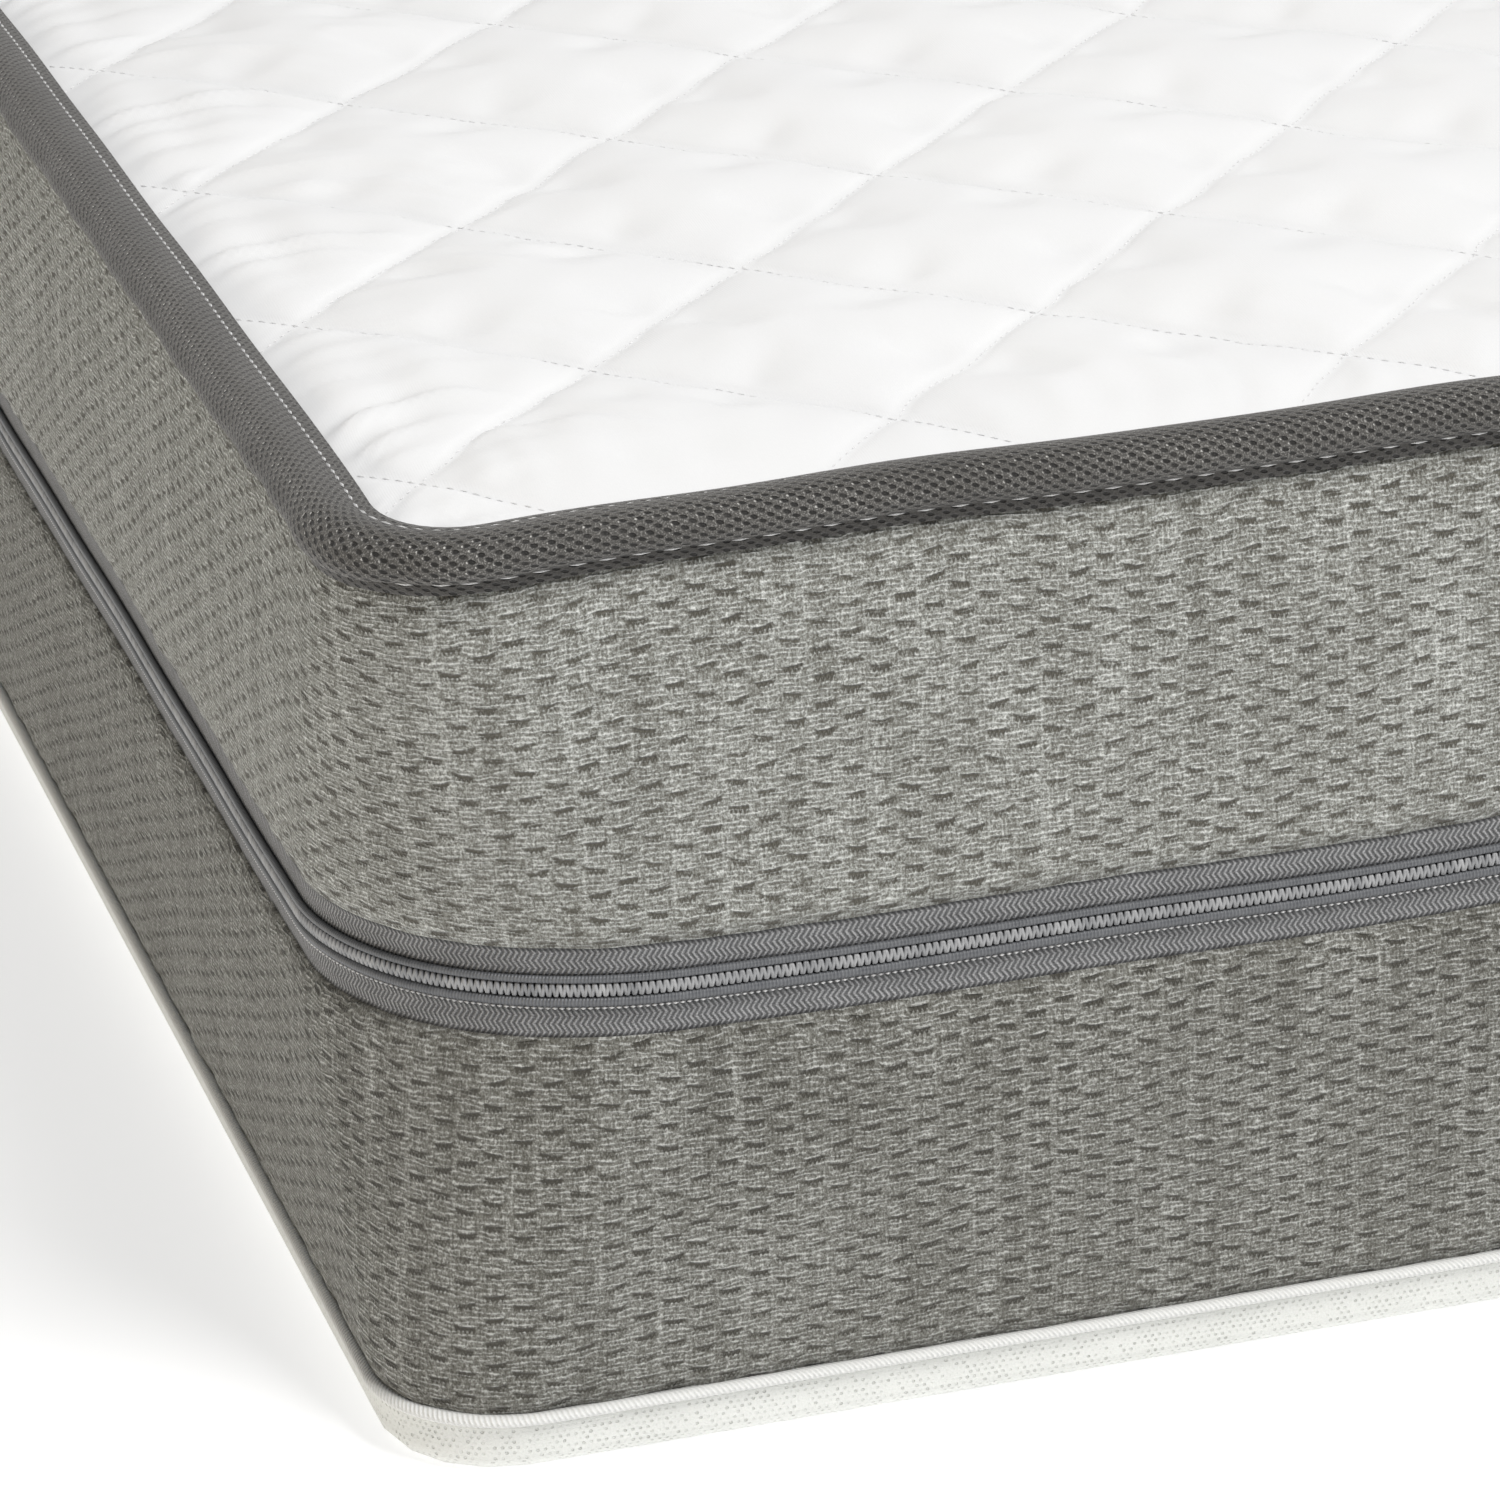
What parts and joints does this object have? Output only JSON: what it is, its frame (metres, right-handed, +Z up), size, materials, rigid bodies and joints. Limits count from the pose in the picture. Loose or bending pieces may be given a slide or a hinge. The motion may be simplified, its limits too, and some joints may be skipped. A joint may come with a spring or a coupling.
{
  "type": "memory foam mattress",
  "caption": "Layered foam mattress with a quilted white top, grey knitted side borders, rolled mesh edge binding and a two-part cover zipped all the way round.",
  "frame": {"origin": "centre of the mattress's underside, on the surface that it lies on", "axes": "+Z up through the sleeping side, +Y along the length towards the head end, +X across the width"},
  "size_m": [0.9908, 1.9106, 0.203],
  "materials": {
    "white_mesh": "matte",
    "lower_knit": "matte",
    "upper_knit": "matte",
    "border_foam": "matte",
    "label_fabric": "matte",
    "sock_knit": "matte",
    "base_foam": "matte",
    "comfort_foam": "matte",
    "memory_foam": "matte",
    "white_thread": "satin",
    "white_knit": "matte",
    "wadding": "matte",
    "backing": "matte",
    "grey_mesh": "matte",
    "zip_tape": "matte",
    "zip_coil": "satin",
    "zip_metal": "satin",
    "garage_fabric": "matte"
  },
  "bodies": {
    "cover_bottom": {"bottom_panel": "white_mesh", "bottom_hem": "white_mesh", "lower_border": "lower_knit", "lower_border_foam": "border_foam", "blank_label": "label_fabric", "zip_lower_tape": "zip_tape", "zip_lower_coil": "zip_coil", "zip_lower_stops": "zip_metal", "zip_garage": "garage_fabric"},
    "foam_core": {"fire_sock": "sock_knit", "base_foam": "base_foam", "comfort_foam": "comfort_foam", "memory_foam": "memory_foam"},
    "cover_top": {"quilting_thread": "white_thread", "top_panel": "white_knit", "top_wadding": "wadding", "top_backing": "backing", "upper_border": "upper_knit", "upper_border_foam": "border_foam", "edge_binding": "grey_mesh", "binding_stitching": "white_thread", "border_stitching": "white_thread", "zip_upper_tape": "zip_tape", "zip_upper_coil": "zip_coil", "zip_upper_stops": "zip_metal"},
    "zip_slider": {"slider_body": "zip_metal", "slider_bail": "zip_metal"},
    "zip_pull": {"pull_tab": "zip_metal"}
  },
  "joints": [
    {"name": "core_lift", "type": "slide", "parent": "cover_bottom", "child": "foam_core", "axis": [0, 0, 1], "range_m": [0, 0.16]},
    {"name": "cover_top_lift", "type": "slide", "parent": "foam_core", "child": "cover_top", "axis": [0, 0, 1], "range_m": [0, 0.16], "deforming": ["zip_upper_coil"]},
    {"name": "zip_slide", "type": "slide", "parent": "cover_bottom", "child": "zip_slider", "axis": [-1, 0, 0], "range_m": [0, 0.66], "deforming": ["zip_upper_coil", "zip_lower_coil"]},
    {"name": "pull_swing", "type": "hinge", "parent": "zip_slider", "child": "zip_pull", "pos_m": [0.335, 0.95555, 0.102], "axis": [0, 0, -1], "range_deg": [0, 180]}
  ]
}
